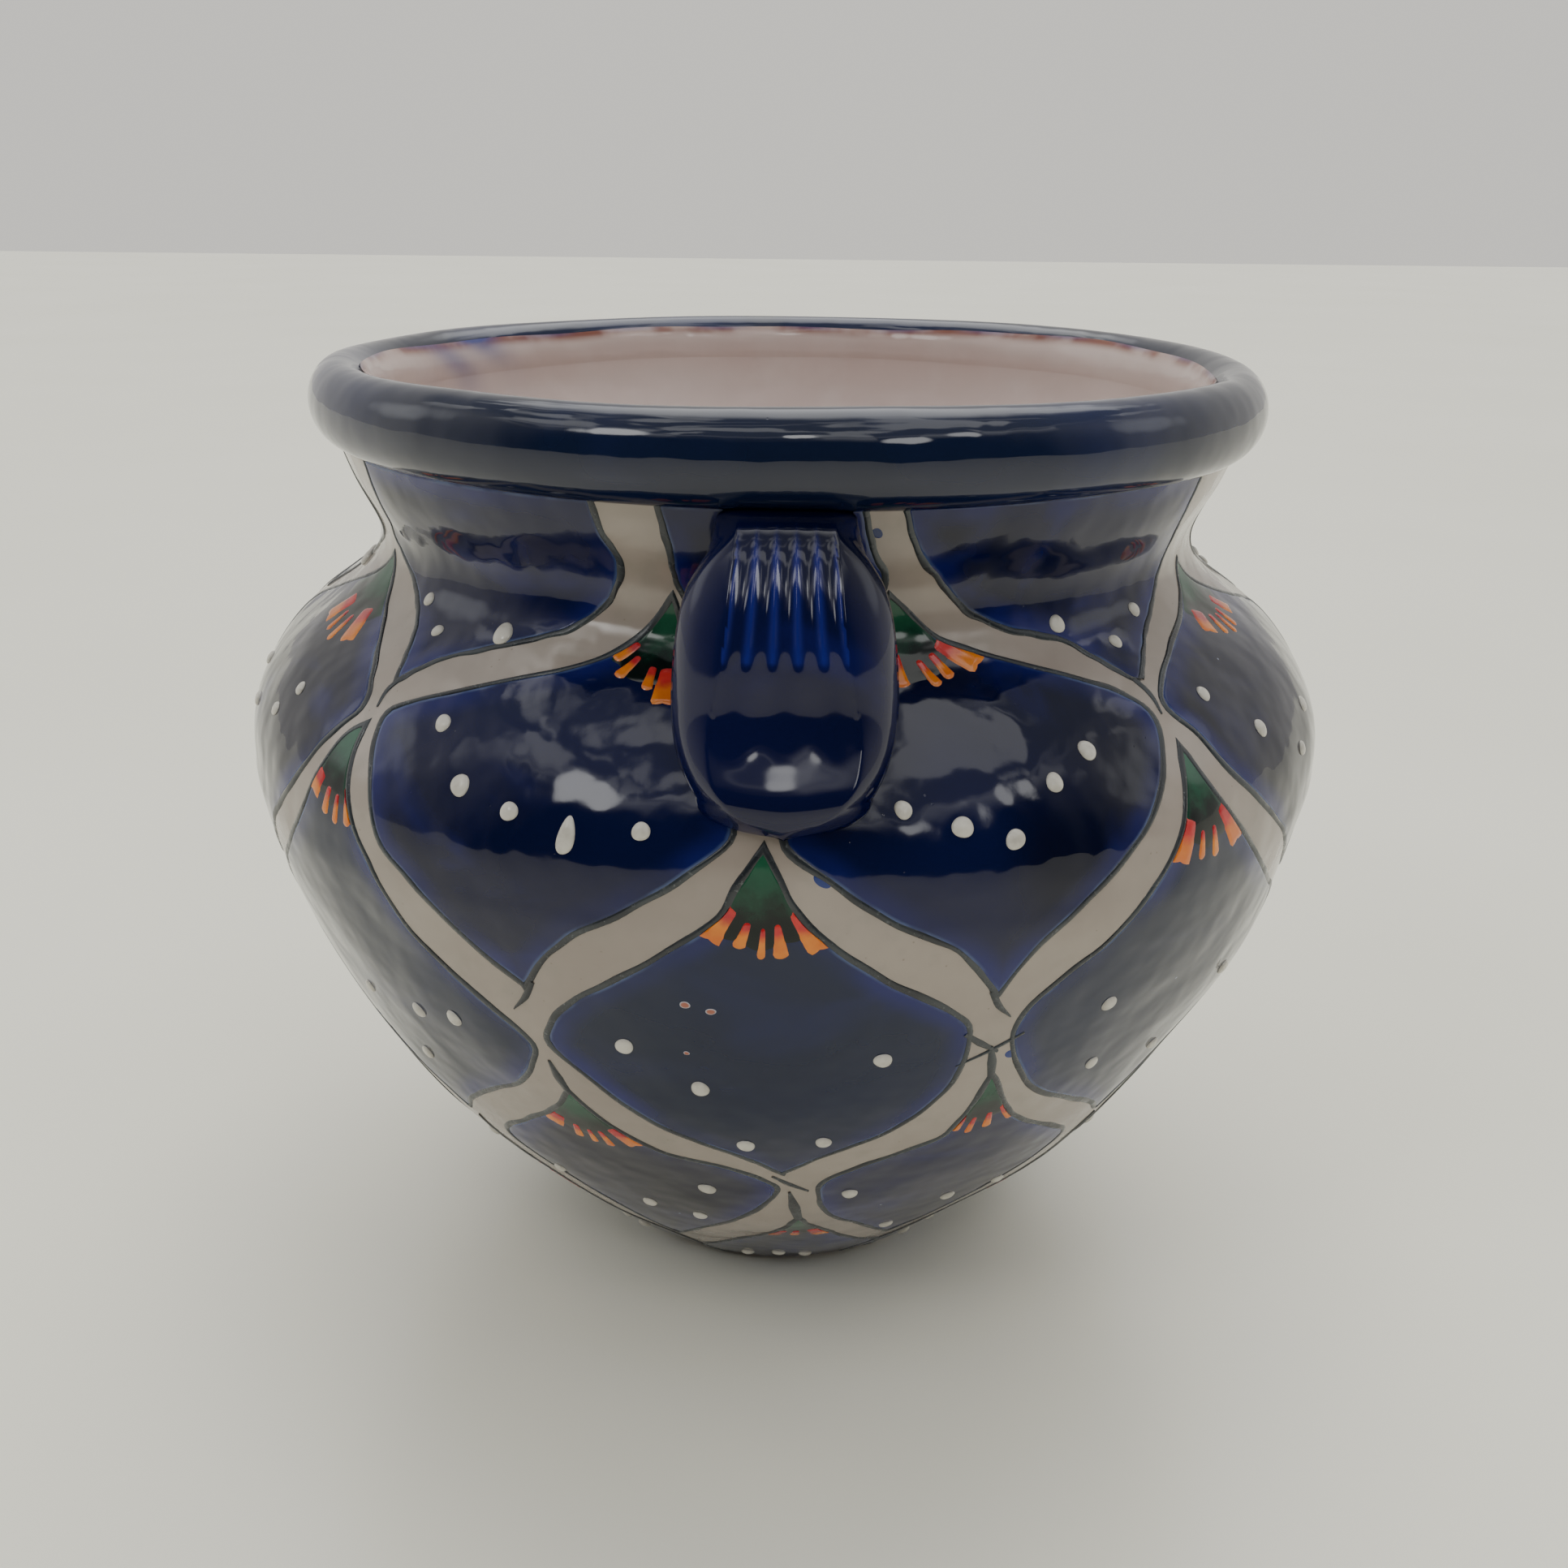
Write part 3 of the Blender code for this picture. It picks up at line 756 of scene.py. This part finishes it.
def add_fan(green, flame, line, apex, seed, rays):
    """The green wedge in a panel's apex, dark at its foot, with its fan of red and orange rays."""
    rng = random.Random(seed)
    deepest = max(ray[1][1] for ray in rays) * FAN_DEPTH * MM
    shares = np.linspace(-1, 1, 25)
    rows, down, middle = [], [], []
    for f in np.linspace(0, 1, 16):
        row = []
        for a in shares:
            end = deepest * (1.0 - 0.10 * abs(a) + 0.02 * math.sin(9 * a + seed))
            far = max(end * f, 0.3 * MM)
            left, right = side_angles(line, apex, far)
            left, right = max(left, -FAN_SPREAD), min(right, FAN_SPREAD)
            row.append(polar(apex, left + (right - left) * (a * 0.985 + 1) / 2, far))
        row = np.array(row)
        edge = np.where(np.abs(shares) == 1, 0.0, 1.0) * (1 if 0 < f < 1 else 0)
        rows.append(on_pot(*row.T, BED - 0.04 * MM + 0.10 * MM * edge))
        down.append(np.full(len(shares), f))
        middle.append(1 - np.abs(shares) ** 1.6)
    green.grid(np.stack(rows), flip=True, down=np.stack(down), middle=np.stack(middle))
    for (a0, r0), (a1, r1), w0, w1, red in rays:
        a0, a1 = (a + rng.uniform(-stray, stray) for a, stray in zip((a0, a1), RAY_WAVER))
        r1 *= rng.uniform(0.97, 1.04)
        rows, along = [], []
        for f in np.linspace(0, 1, 14):
            reach, angle = (r0 + (r1 - r0) * f) * MM, a0 + (a1 - a0) * f
            half = (w0 + (w1 - w0) * f) * (1 - 0.75 * max(0, 1 - f / 0.12) ** 2)
            left, right = side_angles(line, apex, reach)
            row = []
            for j in np.linspace(-1, 1, 9):
                split = 0.05 * (abs(j) - 0.5) * max(0, f - 0.8) / 0.2 if w1 > 2 else 0.0
                far = reach * (1 + split - 0.03 * j * j * f)
                at = min(max(angle + math.degrees(j * half * MM / reach), left + 1.0), right - 1.0)
                row.append(polar(apex, at, far))
            row = np.array(row)
            edge = np.array([0, 0.8, 1, 1, 1, 1, 1, 0.8, 0]) * (0 if f in (0.0, 1.0) else 1)
            rows.append(on_pot(*row.T, BED - 0.02 * MM + 0.22 * MM * edge))
            along.append(np.full(9, f - red + 0.46))
        flame.grid(np.stack(rows), flip=True, along=np.stack(along))


def add_dome(parts, angle, run, radius, height, long=1.0, tilt=0.0, lift=BED):
    """A raised blob: a round dome, or a drip when it is much longer than wide."""
    around = np.linspace(0, 2 * np.pi, 28, endpoint=False)
    rows, rings = [], []
    lumpy = 1 + 0.05 * np.sin(2 * around + angle) + 0.03 * np.sin(3 * around + 2 * angle)
    for f in np.linspace(0, 1, 9):
        r = radius * math.cos(f * math.pi / 2) * lumpy + 1e-6
        rise = lift - 0.12 * MM + (height + 0.12 * MM) * math.sin(f * math.pi / 2) ** 0.85
        x, y = r * np.cos(around), r * np.sin(around) * long
        if long > 1.3:
            x, y = x * (1 - 0.22 * np.sin(around)), y * (1 + 0.12 * np.sin(around))
        c, s = math.cos(math.radians(tilt)), math.sin(math.radians(tilt))
        x, y = x * c - y * s, x * s + y * c
        rows.append(on_pot(angle + np.degrees(x / radius_at(run)), run + y, rise))
        rings.append(np.full(len(around), 1 - f))
    parts.grid(np.stack(rows), wrap_columns=True, ring=np.stack(rings))


# Enamel dots of each kind of panel: (degrees from the panel's middle, run in mm, size). A size of 0
# stands for the one long drip.
NECK_A = [(-4.5, 230.6, 0.9), (1, 224.5, 0.9), (11.2, 227.4, 1.35)]
NECK_B = [(-6.4, 231.5, 1.05), (0.9, 224.9, 0.9), (7.1, 230.6, 0.95)]
SHOULDER_A = [
    (-11.2, 204.6, 1.1), (-6.4, 193.1, 1.25), (-0.8, 190.1, 1.1),
    (4.8, 187, 0), (11.2, 189.7, 1),
]
SHOULDER_B = [
    (9.2, 202.1, 1.15), (4.7, 196.8, 1.1), (-4.5, 190.5, 1.2),
    (-9.4, 194.6, 1), (0, 187.1, 1.1),
]
SHOULDER_C = [(9.5, 198.7, 0.9), (5.9, 191, 0.9), (-4, 186.5, 1), (-11, 192.5, 1)]
SHOULDER_D = [(-17.2, 207, 0.95), (-11, 194.7, 1.1), (2.6, 191.3, 1), (-2.8, 184.2, 0.9)]
BELLY_A = [
    (-15.6, 139.5, 1.15), (-8.9, 128.7, 1.15), (7.9, 138, 1.1),
    (-4.9, 108.4, 1.1), (3.2, 110, 1.05),
]
BELLY_B = [(3.5, 132.3, 1.1), (9.4, 135.7, 1.1), (-8, 127, 1), (-1.5, 112, 1)]
BELLY_C = [(-12.8, 142.3, 1.05), (-10.7, 121, 1), (2, 114, 1), (9, 133, 1.1)]
BOWL_A = [(13.6, 82.4, 1.15), (3.3, 65.7, 1.05), (10.9, 63.1, 1), (-10.3, 72.6, 1)]
BOWL_B = [(-10.4, 81.3, 1.1), (6.5, 65.7, 1.05), (-0.8, 49.7, 1), (15.7, 65.7, 1)]
FOOT_A = [(-9.5, 15.4, 1), (-1.5, 17.7, 1), (5.2, 18.1, 1)]
DOTS = {
    "neck": {-1: NECK_A, 0: [], 1: NECK_B, 2: NECK_A},
    "shoulder": {-2: SHOULDER_C, -1: SHOULDER_A, 0: SHOULDER_B, 1: SHOULDER_D},
    "belly": {-1: BELLY_B, 0: BELLY_A, 1: BELLY_C, 2: BELLY_B},
    "bowl": {-2: BOWL_B, -1: BOWL_A, 0: BOWL_B, 1: BOWL_A},
    "foot": {-1: FOOT_A, 0: FOOT_A, 1: FOOT_A, 2: FOOT_A},
}
# Degrees round to the middle of each column: of the neck, of the belly and foot, and of the rows between.
TIPS = {-1: -44.7, 0: 1.3, 1: 39.6, 2: 88}
APEXES = {-1: -42.5, 0: 1.3, 1: 45, 2: 89.5}
SIDES = {-2: -68, -1: -22.9, 0: 19.4, 1: 64.5}
MIDDLES = {"neck": TIPS, "shoulder": SIDES, "belly": APEXES, "bowl": SIDES, "foot": APEXES}
DOT_RADIUS, DOT_HEIGHT = 1.74 * MM, 0.80 * MM
DRIP = {"radius": 1.75 * MM, "height": 0.95 * MM, "long": 2.25, "tilt": -5}
PIT_RADIUS, PIT_HEIGHT = 1.25 * MM, 0.10 * MM
STRAY_RADIUS, STRAY_HEIGHT, STRAY_LIFT = 1.3 * MM, 0.05 * MM, 0.04 * MM
# Strokes where outlines run together: points, and half widths in mm along them.
STROKES = [
    ([(-22.6, 131), (-22.3, 126), (-21.7, 120)], (0.3, 1.3, 0.9)),
    ([(19.6, 138), (20.2, 133), (20.7, 127.5)], (0.5, 1.2, 0.9)),
    ([(16.6, 143), (18.4, 139.5), (20.4, 136.2)], (0.6, 0.9, 0.4)),
    ([(22.8, 140.4), (19.8, 137), (16.4, 133.6)], (0.5, 0.5, 0.2)),
    ([(1.2, 83), (2, 74), (2.8, 65)], (0.3, 1.5, 1)),
    ([(-0.9, 91.5), (1, 87.5), (3.6, 83.5)], (0.3, 0.8, 0.3)),
    ([(66, 133), (67, 128.5), (68.3, 123.5)], (0.3, 1.2, 0.9)),
    ([(-67, 131), (-67.2, 126), (-67.3, 120)], (0.3, 1.2, 0.9)),
    ([(46, 88), (45, 79), (44.8, 67)], (0.3, 1.4, 1)),
    ([(-43, 88), (-43.8, 79), (-44.2, 66.5)], (0.3, 1.4, 1)),
    ([(-22.4, 153), (-23.4, 148.5), (-24.9, 144.5)], (0.8, 0.8, 0.2)),
    ([(18.4, 154), (19.4, 149.5), (20.8, 146)], (0.8, 0.8, 0.2)),
    ([(-43, 212), (-43.8, 208), (-43.6, 203.5)], (0.8, 0.7, 0.2)),
    ([(39.2, 215.5), (39.9, 211), (39.7, 206)], (0.8, 0.7, 0.2)),
]
# Burst bubbles and stray spots of blue: (degrees, run in mm, size).
PITS = ((-8.2, 153.3, 1), (-6, 152, 0.95), (-8.5, 139.5, 0.6))
STRAYS = ((9.2, 256, 0.8), (22, 134.3, 0.9), (3.2, 182, 1.2), (-14.5, 232.5, 0.5))


def decorate():
    """The painted net, its fans, dots, pits and strays, over both halves of the pot."""
    fills = {name: Parts() for name in DOTS}
    lines = {name: Parts() for name in DOTS}
    green, flame, dots, pits, smudges = Parts(), Parts(), Parts(), Parts(), Parts()
    for number, (name, column, left, right) in enumerate(panels()):
        line = hand_drawn(left, right, number)
        add_panel(fills[name], line)
        add_outline(lines[name], line, 100 + number)
        first = min(DOTS[name])
        home = (column - first) % 4 + first  # the front panel that a back one repeats
        if name in FANS:
            add_fan(green, flame, line, left[0], 200 + number, FANS[name][home])
        rng = random.Random(300 + number)
        middle = MIDDLES[name][home] + 45 * (column - home)
        for turn, run, size in DOTS[name][home]:
            place = (dots, middle + turn, run * MM)
            if size == 0:
                add_dome(*place, **DRIP)
                continue
            long, tilt = rng.uniform(1.0, 1.16), rng.uniform(-30, 30)
            add_dome(*place, DOT_RADIUS * size, DOT_HEIGHT * size, long, tilt)
    for half in (0, 180):
        for points, widths in STROKES:
            add_stroke(lines["bowl"], [(a + half, u) for a, u in points], widths)
    for turn, run, size in PITS:
        add_dome(pits, turn, run * MM, PIT_RADIUS * size, PIT_HEIGHT, 0.75)
    for turn, run, size in STRAYS:
        add_dome(smudges, turn, run * MM, STRAY_RADIUS * size, STRAY_HEIGHT, 1.3, 40, STRAY_LIFT)
    cobalt = cobalt_glaze("panel_cobalt_glaze")
    paint = outline_paint()
    # The belly panels take the lighter slate cobalt, which holds a painted reflection of the floor.
    slate_reflection_glaze = cobalt_glaze("belly_cobalt_painted_reflection_glaze", body=SLATE_WITH_PAINTED_REFLECTION)
    stray = cobalt_glaze("stray_cobalt_glaze", use_edge=False, body=SMUDGE)
    for name, parts in fills.items():
        parts.make(f"{name}_panels", slate_reflection_glaze if name == "belly" else cobalt, "cobalt_glaze")
    for name, parts in lines.items():
        parts.make(f"{name}_outlines", paint, "navy_glaze")
    green.make("fan_wedges", green_glaze(), "cobalt_glaze")
    flame.make("fan_rays", flame_glaze(), "cobalt_glaze")
    dots.make("enamel_dots", enamel(), "lining_glaze")
    pits.make("glaze_pits", pit_glaze(), "clay")
    smudges.make("stray_cobalt", stray, "cobalt_glaze")


# ---------------- strap handles

# Stations down the strap: its face and its underside as (distance from the axis, height), then the
# half width of its outline and of its flat, all in mm.
STRAP = [
    ((104, 217.2), (104, 206), 12.6, 8.6), ((112, 216.8), (109, 206), 13.4, 8.8),
    ((118.6, 213.2), (112.3, 204.3), 16.3, 9.1), ((123, 207.3), (114.2, 201.4), 18.6, 9.6),
    ((126.9, 199.5), (115.6, 196.3), 20.1, 10.6), ((129, 190.5), (116.3, 189.3), 21, 12),
    ((129.9, 181.5), (117.6, 181.3), 21.3, 13.4), ((133.4, 174.2), (120.3, 173.8), 20.3, 13.8),
    ((136.6, 169), (123.6, 167.5), 17.6, 11.6), ((136.9, 164.4), (126.5, 163), 12.4, 6.4),
    ((133.8, 160.2), (130, 159.8), 0.3, 0.1),
]
FACE_COLUMNS, UNDER_COLUMNS, STATIONS, FINE = 121, 27, 150, 2001
FOOT_CLOSES = 0.17  # share of the strap's length over which the pad's end rounds off
RIB_START, RIB_FADE, RIB_END, WAVE_END = 0.11, 0.435, 0.495, 0.71  # as shares of the strap's length
RIBS, RIB_HEIGHT = 5, 1.00 * MM
BROAD_WAVES, BROAD_HEIGHT = 3, 0.45 * MM


def smooth_step(start, end, value):
    t = np.clip((value - start) / (end - start), 0, 1)
    return t * t * (3 - 2 * t)


def strap_section(f, wide, flat, thick, proud):
    """One station of a strap, at share f of its length, as x, depth under the face and groove values.
    The face comes first, from its left side to its right one, and then the underside."""
    side = np.linspace(-1, 1, FACE_COLUMNS)
    x = np.sign(side) * (0.55 * np.abs(side) + 0.45 * np.abs(side) ** 1.6) * wide
    inside, phase = np.abs(x) < flat, (x / flat + 1) / 2
    ribs = smooth_step(RIB_END, RIB_FADE, f)
    ribs = ribs * np.clip((f - RIB_START) / (RIB_FADE - RIB_START), 0, 1) ** 1.6
    broad = smooth_step(RIB_END, 0.60, f) * smooth_step(WAVE_END, 0.62, f)
    crest = np.abs(np.sin(np.pi * RIBS * phase)) ** 0.85
    wave = -0.5 * np.cos(2 * np.pi * BROAD_WAVES * phase)
    lift = np.where(inside, RIB_HEIGHT * ribs * (crest - 0.55) + BROAD_HEIGHT * broad * wave, 0)
    crown = (0.20 + 0.7 * smooth_step(0.55, 0.75, f)) * MM
    lift -= crown * np.clip(np.abs(x) / flat, 0, 1) ** 2
    slope = np.clip((np.abs(x) - flat) / np.maximum(wide - flat, 0.1 * MM), 0, 1)
    fall = min(0.70 * thick, 0.9 * max(proud, 1.5 * MM) if f < 0.25 else 1.0)
    depth = fall * (0.71 * slope**1.2 + 0.29 * slope**6) - lift
    under = np.linspace(1, -1, UNDER_COLUMNS + 2)[1:-1]
    return (
        np.concatenate([x, under * wide]),
        np.concatenate([depth, thick * (1 - 0.30 * np.abs(under) ** 3)]),
        np.concatenate([np.where(inside, min(3.5 * ribs, 1) * (1 - crest), 0), 0 * under]),
    )


def strap(name, node_name, turn, mat):
    """A pulled strap: five fingered ribs down its flat face, sloping sides and a rounded pad for a foot."""
    at = 0.55 * np.sin(np.linspace(0, np.pi / 2, STATIONS)) + 0.45 * np.linspace(0, 1, STATIONS)
    fine = np.linspace(0, 1, FINE)
    columns = zip(*[(*face, *under, *widths) for face, under, *widths in STRAP])
    values = [natural_spline([v * MM for v in column], FINE) for column in columns]
    face_r, face_z, under_r, under_z, wide, flat = (np.interp(at, fine, v) for v in values)
    close = np.clip((1 - at) / FOOT_CLOSES, 0, 1)
    round_end = np.interp(1 - FOOT_CLOSES, fine, values[4]) * np.sqrt(1 - (1 - close) ** 2)
    wide = np.where(close < 1, round_end, wide)
    flat = np.maximum(np.minimum(flat, wide - 3.0 * MM), 0.1 * MM)
    out = np.stack([face_r - under_r, face_z - under_z], -1)
    thick = np.linalg.norm(out, axis=1)
    out /= thick[:, None]
    proud = face_r - np.interp(face_z, PROFILE_Z, PROFILE_R)  # how far the face stands off the neck
    rows, groove = [], []
    for i, f in enumerate(at):
        x, depth, dips = strap_section(f, wide[i], flat[i], thick[i], proud[i])
        rows.append(np.stack([x, depth * out[i, 0] - face_r[i], face_z[i] - depth * out[i, 1]], -1))
        groove.append(dips)
    c, s = math.cos(turn), math.sin(turn)
    grid = np.stack(rows) @ np.array([[c, s, 0], [-s, c, 0], [0, 0, 1]])
    parts = Parts()
    parts.grid(grid, wrap_columns=True, groove=np.stack(groove))
    for ring, way in ((grid[0], 1), (grid[-1], -1)):
        fan = [(j, (j + 1) % len(ring), len(ring))[::way] for j in range(len(ring))]
        parts.add(np.concatenate([ring, ring.mean(0)[None]]), fan, groove=0.0)
    parts.make(name, mat, "cobalt_glaze", (node_name,))


# ---------------- stage, light and camera


def stage_floor():
    """A plain pale floor, 12 m square."""
    mesh = bpy.data.meshes.new("floor")
    corners = [(-6.0, -6.0, 0.0), (6.0, -6.0, 0.0), (6.0, 6.0, 0.0), (-6.0, 6.0, 0.0)]
    mesh.from_pydata(corners, [], [(0, 1, 2, 3)])
    s = Shader("floor_pale", Roughness=0.32)
    s.colour(s.mix(s.ramp(s.noise(3, 3), 0.3, 0.7), (0.95, 0.93, 0.80), (0.98, 0.96, 0.83)))
    mesh.materials.append(s.mat)
    obj = bpy.data.objects.new("floor", mesh)
    bpy.context.scene.collection.objects.link(obj)


# The room as seen from the pot: soft bright patches as (direction, degrees to their rim, softness in
# degrees, strength), over a pale ceiling, a pale wall behind and a dark room in front.
PATCHES = [
    ((-0.70, -0.60, 0.80), 6.5, 3.0, 7.0), ((0.02, -0.90, 0.90), 3.2, 1.6, 7.0),
    ((0.50, -0.86, 0.70), 5.0, 3.0, 5.0), ((0.78, -0.62, 0.85), 4.0, 2.5, 5.0),
    ((0.05, 0.55, 1.0), 22.0, 20.0, 3.4), ((-1.0, 0.25, 0.45), 9.0, 10.0, 1.6),
    ((1.0, 0.1, 0.5), 8.0, 10.0, 1.4),
]
# The strip of light over the front room: the heights of its edges in the unit sphere, and its strength.
STRIP_LOW, STRIP_HIGH, STRIP_EDGE, STRIP_STRENGTH = 0.675, 0.710, 0.012, 0.9
CEILING_DIM, CEILING_LIT = (0.40, 0.41, 0.43), (2.05, 2.05, 2.00)
BACK_WALL, FRONT_ROOM = (0.80, 0.78, 0.73), (0.050, 0.056, 0.066)


def soft_world():
    world = bpy.data.worlds.new("studio")
    bpy.context.scene.world = world
    world.use_nodes = True
    s = Nodes(world.node_tree, "Generated")
    _, ahead, height = s.node("SeparateXYZ", {0: s.place}).outputs
    room = s.mix(s.ramp(ahead, -0.60, 0.20), FRONT_ROOM, BACK_WALL)
    ceiling = s.mix(s.ramp(s.noise(2.6, 2, 0.5, 0.8), 0.46, 0.56), CEILING_DIM, CEILING_LIT)
    light = s.mix(s.ramp(height, 0.56, 0.74), room, ceiling)
    over = s.ramp(height, STRIP_LOW, STRIP_LOW + STRIP_EDGE)
    strip = s.times(over, s.ramp(height, STRIP_HIGH, STRIP_HIGH - STRIP_EDGE))
    light = s.mix(s.times(strip, s.ramp(ahead, 0.15, -0.25)), light, (STRIP_STRENGTH,) * 3)
    for aim, rim, soft, strength in PATCHES:
        inputs = {0: s.place, 1: Vector(aim).normalized()}
        near = s.node("VectorMath", inputs, operation="DOT_PRODUCT").outputs["Value"]
        outer, inner = (math.cos(math.radians(rim + side * soft / 2)) for side in (1, -1))
        light = s.mix(s.ramp(near, outer, inner), light, (strength, strength, strength * 0.98))
    s.put(s.tree.nodes["Background"].inputs["Color"], light)


CAMERA_DISTANCE, CAMERA_HEIGHT = 0.400, 0.2732
CAMERA_PITCH, CAMERA_ROLL = 20.92, 0.60  # degrees down, and degrees tilted
LENS, SENSOR = 36.06, 36.0  # in mm


def camera():
    data = bpy.data.cameras.new("view")
    data.sensor_width, data.lens = SENSOR, LENS
    data.clip_start = 0.01
    obj = bpy.data.objects.new("view", data)
    bpy.context.scene.collection.objects.link(obj)
    pitch, roll = math.radians(CAMERA_PITCH), math.radians(CAMERA_ROLL)
    ahead = Vector((0, math.cos(pitch), -math.sin(pitch)))
    level = Vector((1, 0, 0))
    above = level.cross(ahead)
    right = level * math.cos(roll) + above * math.sin(roll)
    up = -level * math.sin(roll) + above * math.cos(roll)
    turn = Matrix((right, up, -ahead)).transposed().to_4x4()
    obj.matrix_world = Matrix.Translation((0, -CAMERA_DISTANCE, CAMERA_HEIGHT)) @ turn
    bpy.context.scene.camera = obj


wall()
foot()
lip()
lining()
decorate()
HANDLE_GLAZE = cobalt_glaze("handle_cobalt_glaze", use_edge=False, body=STRAP_BLUE, ribbed=True)
strap("front_strap", "handle_front", 0.0, HANDLE_GLAZE)
strap("back_strap", "handle_back", math.pi, HANDLE_GLAZE)
stage_floor()
soft_world()
camera()
